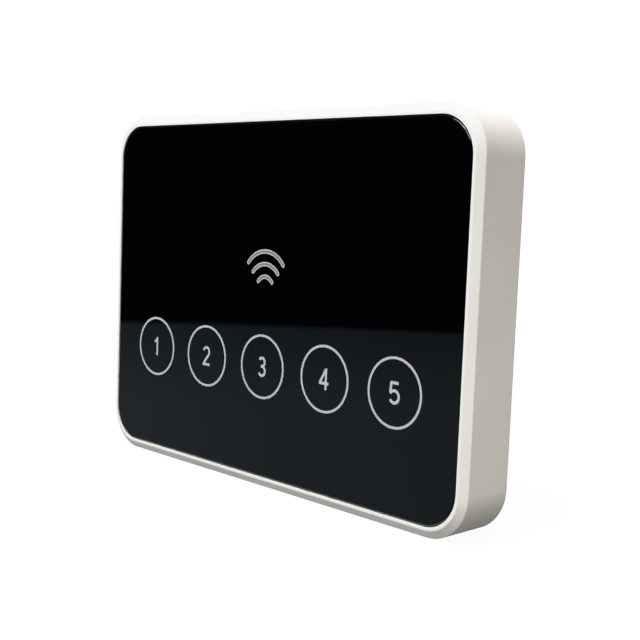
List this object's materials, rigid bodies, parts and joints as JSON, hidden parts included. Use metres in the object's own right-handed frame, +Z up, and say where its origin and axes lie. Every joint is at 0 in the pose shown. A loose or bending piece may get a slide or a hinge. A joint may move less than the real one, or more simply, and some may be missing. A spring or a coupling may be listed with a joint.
{
  "type": "waiter call button",
  "caption": "Flat touch call unit: black glass front with a row of round touch keys in a white bevelled housing, twist-off battery cap and keyholes behind.",
  "frame": {"origin": "middle of the lower edge that the unit stands on: centre of the box in X and Y, z = 0 at the bottom face", "axes": "+X to the right seen from the front, +Y from the glass front to the rear cover, +Z up; the glass faces -Y"},
  "size_m": [0.118, 0.0132, 0.084],
  "materials": {
    "housing_white": "satin",
    "glass_black": "polished",
    "tape_grey": "matte",
    "carrier_black": "matte",
    "spring_steel": "polished",
    "diffuser_milky": "satin",
    "led_clear": "gloss",
    "board_green": "satin",
    "chip_black": "matte",
    "shield_tin": "satin",
    "copper_wire": "polished",
    "capacitor_yellow": "satin",
    "contact_gold": "satin",
    "cell_steel": "satin",
    "cover_white": "matte",
    "cap_white": "satin",
    "seal_red": "matte",
    "screw_steel": "satin"
  },
  "bodies": {
    "housing": {"front_frame": "housing_white", "touch_glass": "glass_black", "glass_tape": "tape_grey", "spring_carrier": "carrier_black", "touch_spring_1": "spring_steel", "touch_spring_2": "spring_steel", "touch_spring_3": "spring_steel", "touch_spring_4": "spring_steel", "touch_spring_5": "spring_steel", "signal_diffuser": "diffuser_milky", "signal_led": "led_clear", "main_board": "board_green", "touch_controller": "chip_black", "radio_module": "shield_tin", "antenna_coil": "copper_wire", "crystal": "shield_tin", "capacitors": "capacitor_yellow", "buzzer": "chip_black", "battery_holder": "carrier_black", "negative_contact": "contact_gold", "positive_contact": "contact_gold", "coin_cell": "cell_steel", "rear_cover": "cover_white", "board_screws": "screw_steel", "cover_screws": "screw_steel"},
    "cap": {"battery_cap": "cap_white", "cap_seal": "seal_red"}
  },
  "joints": [
    {"name": "cap_turn", "type": "hinge", "parent": "housing", "child": "cap", "pos_m": [0, 0.0064, 0.042], "axis": [0, 1, 0], "range_deg": [0, 40]}
  ]
}
